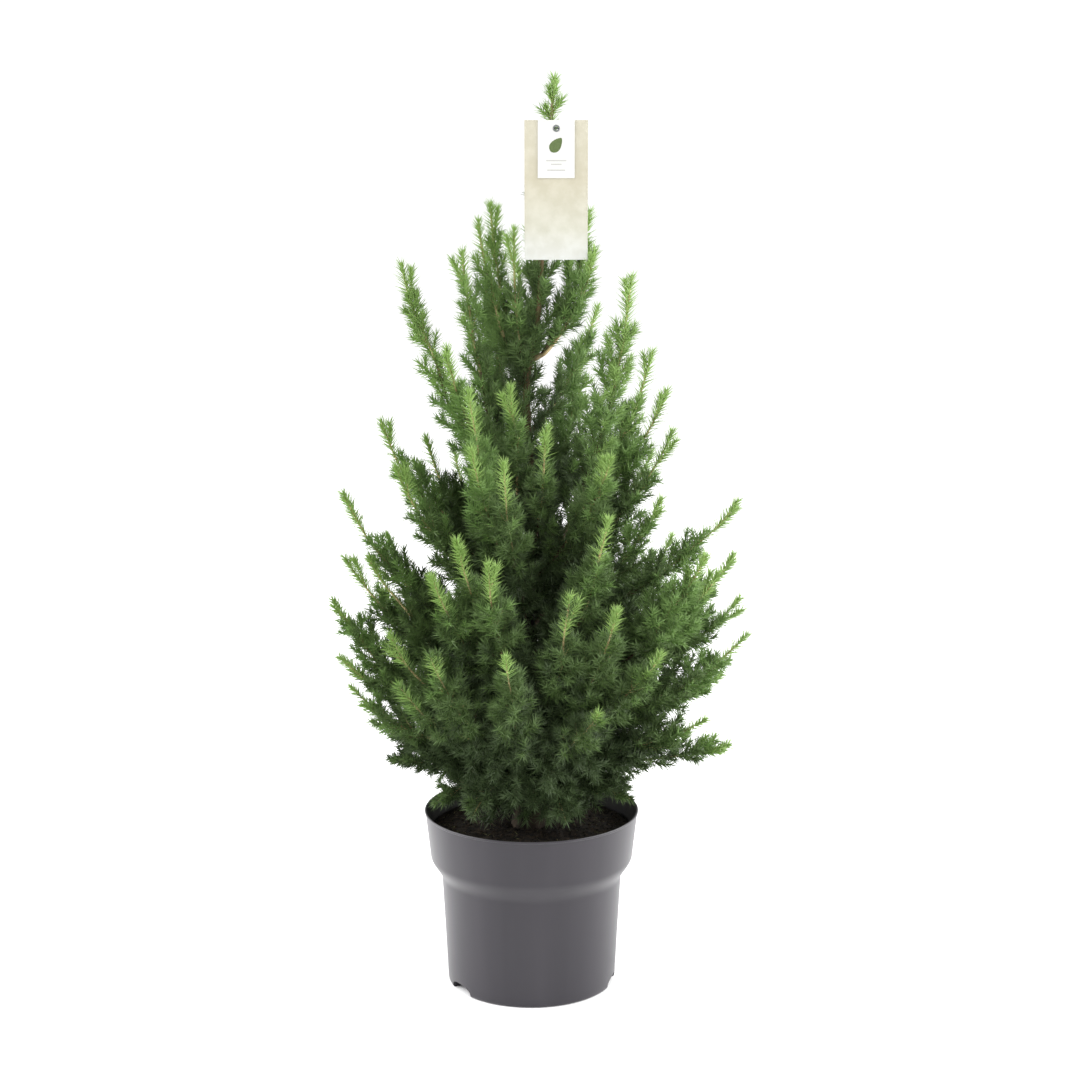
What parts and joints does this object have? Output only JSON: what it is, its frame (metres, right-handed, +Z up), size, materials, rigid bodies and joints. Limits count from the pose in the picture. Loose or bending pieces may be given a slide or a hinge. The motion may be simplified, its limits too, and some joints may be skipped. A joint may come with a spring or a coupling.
{
  "type": "potted alberta spruce",
  "caption": "Dwarf conical spruce with upswept needle-covered shoots, growing in a round collared nursery pot, with a plain hang tag on its leader.",
  "frame": {"origin": "centre of the pot's flat underside, on the surface that it stands on", "axes": "+Z up, along the plant's height; -Y is the front, the side that carries the tag; +X is to the right seen from the front"},
  "size_m": [0.3612, 0.3268, 0.8045],
  "materials": {
    "pot": "satin",
    "soil": "matte",
    "bark": "matte",
    "foliage": "satin",
    "tag_card": "matte",
    "tag_ticket": "matte",
    "tag_loop": "matte"
  },
  "bodies": {
    "root": {"pot": "pot", "potting_soil": "soil", "trunk": "bark", "bough_top_right": "bark", "bough_high_left": "bark", "bough_high_right": "bark", "bough_high_front_left": "bark", "bough_mid_right_high": "bark", "bough_mid_left_high": "bark", "bough_low_right_fan": "bark", "bough_low_left_edge": "bark", "bough_low_front_right": "bark", "foliage_leader": "foliage", "foliage_top_left": "foliage", "foliage_top_right": "foliage", "foliage_top_back": "foliage", "foliage_high_left": "foliage", "foliage_high_far_left": "foliage", "foliage_high_right": "foliage", "foliage_high_back_right": "foliage", "foliage_high_back_left": "foliage", "foliage_high_front_left": "foliage", "foliage_mid_front_left": "foliage", "foliage_mid_front": "foliage", "foliage_mid_front_centre": "foliage", "foliage_mid_front_right": "foliage", "foliage_mid_right_front": "foliage", "foliage_mid_right_high": "foliage", "foliage_mid_right": "foliage", "foliage_mid_right_low": "foliage", "foliage_mid_left_high": "foliage", "foliage_mid_left_front": "foliage", "foliage_mid_left_back": "foliage", "foliage_low_right_fan": "foliage", "foliage_low_right": "foliage", "foliage_low_right_edge": "foliage", "foliage_low_right_under": "foliage", "foliage_low_left_high": "foliage", "foliage_low_left": "foliage", "foliage_low_left_edge": "foliage", "foliage_low_left_under": "foliage", "foliage_low_front_left": "foliage", "foliage_low_front": "foliage", "foliage_low_front_right": "foliage", "foliage_low_front_nose": "foliage", "foliage_low_front_corner": "foliage", "foliage_low_left_corner": "foliage", "foliage_low_front_under": "foliage", "foliage_back_high_1": "foliage", "foliage_back_high_2": "foliage", "foliage_back_mid_1": "foliage", "foliage_back_mid_2": "foliage", "foliage_back_low_1": "foliage", "foliage_back_low_2": "foliage", "foliage_back_low_3": "foliage", "foliage_back_under_1": "foliage", "foliage_back_under_2": "foliage", "tag_card": "tag_card", "tag_ticket": "tag_ticket", "tag_loop": "tag_loop"}
  },
  "joints": []
}
